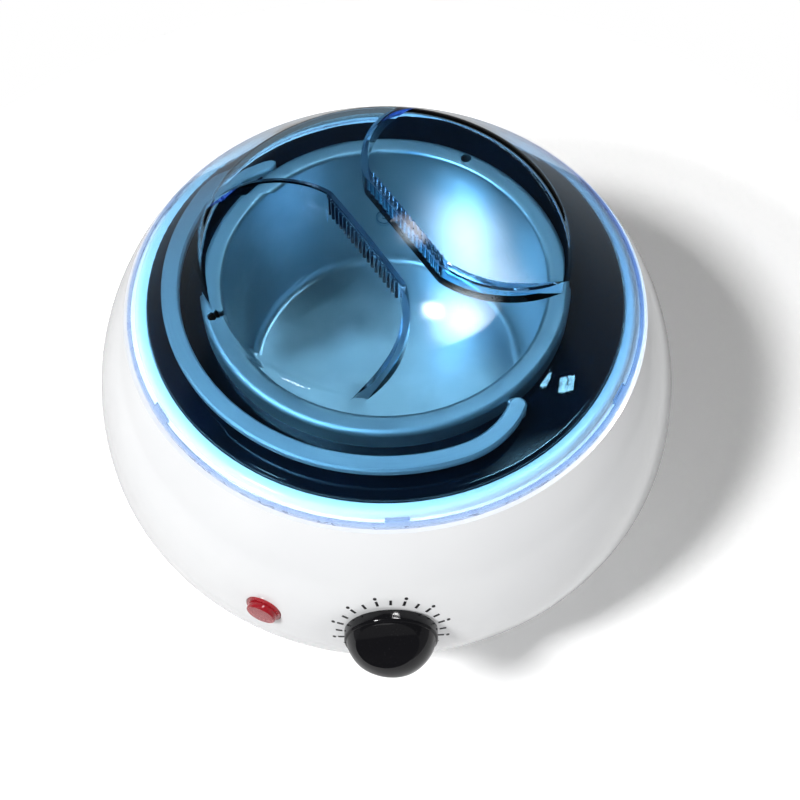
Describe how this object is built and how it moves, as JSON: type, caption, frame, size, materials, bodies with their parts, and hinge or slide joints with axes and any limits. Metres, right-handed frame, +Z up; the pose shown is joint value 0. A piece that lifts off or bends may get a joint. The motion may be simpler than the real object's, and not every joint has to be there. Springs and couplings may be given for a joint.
{
  "type": "wax warmer",
  "caption": "Round pot warmer for wax: ball-shaped housing with a thermostat knob and lamp, and a lift-out pot with a bail under a clear domed lid.",
  "frame": {"origin": "on the floor under the middle of the ball-shaped housing", "axes": "+Z up, -Y towards the knob at the front, +X to the right of someone who faces the knob"},
  "size_m": [0.236, 0.2518, 0.168],
  "materials": {
    "housing_white": "gloss",
    "deck_black": "high gloss",
    "lid_blue": "clear, polished",
    "pot_aluminium": "brushed",
    "bail_metal": "satin",
    "knob_black": "gloss",
    "dial_ink": "printed",
    "lamp_red": "clear red",
    "steel": "zinc plated",
    "aluminium": "mill finish",
    "copper": "drawn tube",
    "contacts": "plated",
    "fibre_white": "woven fibre",
    "black_moulding": "fine texture",
    "white_moulding": "satin",
    "base_grey": "fine texture",
    "rubber_black": "matt",
    "lead_brown": "silicone sleeve",
    "lead_white": "silicone sleeve",
    "lead_green": "silicone sleeve"
  },
  "bodies": {
    "housing": {"housing_shell": "housing_white", "dial_marks": "dial_ink", "deck_ring": "deck_black", "deck_screws": "steel", "thermostat_body": "white_moulding", "thermostat_screws": "steel", "lamp_lens": "lamp_red", "lamp_nut": "black_moulding", "lamp_body": "black_moulding", "heater_well": "aluminium", "well_screws": "steel", "band_heater": "steel", "heater_clamp": "steel", "clamp_screw": "steel", "insulation_wrap": "fibre_white", "heat_shield": "aluminium", "sensor_bulb": "copper", "bulb_clip": "steel", "capillary_tube": "copper", "thermal_fuse": "white_moulding", "fuse_clip": "steel", "stud_nuts": "steel", "inlet_body": "black_moulding", "inlet_pins": "contacts", "terminal_block": "white_moulding", "terminal_screws": "contacts", "block_screws": "steel", "mains_leads": "lead_brown", "heater_leads": "lead_white", "fuse_leads": "lead_white", "thermostat_leads": "lead_white", "lamp_leads": "lead_white", "earth_lead": "lead_green", "base_pan": "base_grey", "base_screws": "steel", "rubber_feet": "rubber_black"},
    "knob": {"knob": "knob_black", "knob_clip": "steel", "thermostat_shaft": "steel"},
    "pot": {"pot": "pot_aluminium", "bail_pins": "aluminium"},
    "bail": {"bail": "bail_metal"},
    "lid": {"lid": "lid_blue"}
  },
  "joints": [
    {"name": "knob_turn", "type": "hinge", "parent": "housing", "child": "knob", "pos_m": [0, -0.11739, 0.0737], "axis": [0, 0.9976, -0.0698], "range_deg": [-45, 225]},
    {"name": "pot_lift", "type": "slide", "parent": "housing", "child": "pot", "axis": [0, 0, 1], "range_m": [0, 0.1]},
    {"name": "lid_lift", "type": "slide", "parent": "pot", "child": "lid", "axis": [0, 0, 1], "range_m": [0, 0.27]},
    {"name": "bail_swing", "type": "hinge", "parent": "pot", "child": "bail", "pos_m": [0, 0, 0.1329], "axis": [-0.6293, 0.7771, 0], "range_deg": [0, 180]}
  ],
  "couplings": [
    {"joint": "bail_swing", "follows": "lid_lift", "rad_per_m": 11.6}
  ]
}
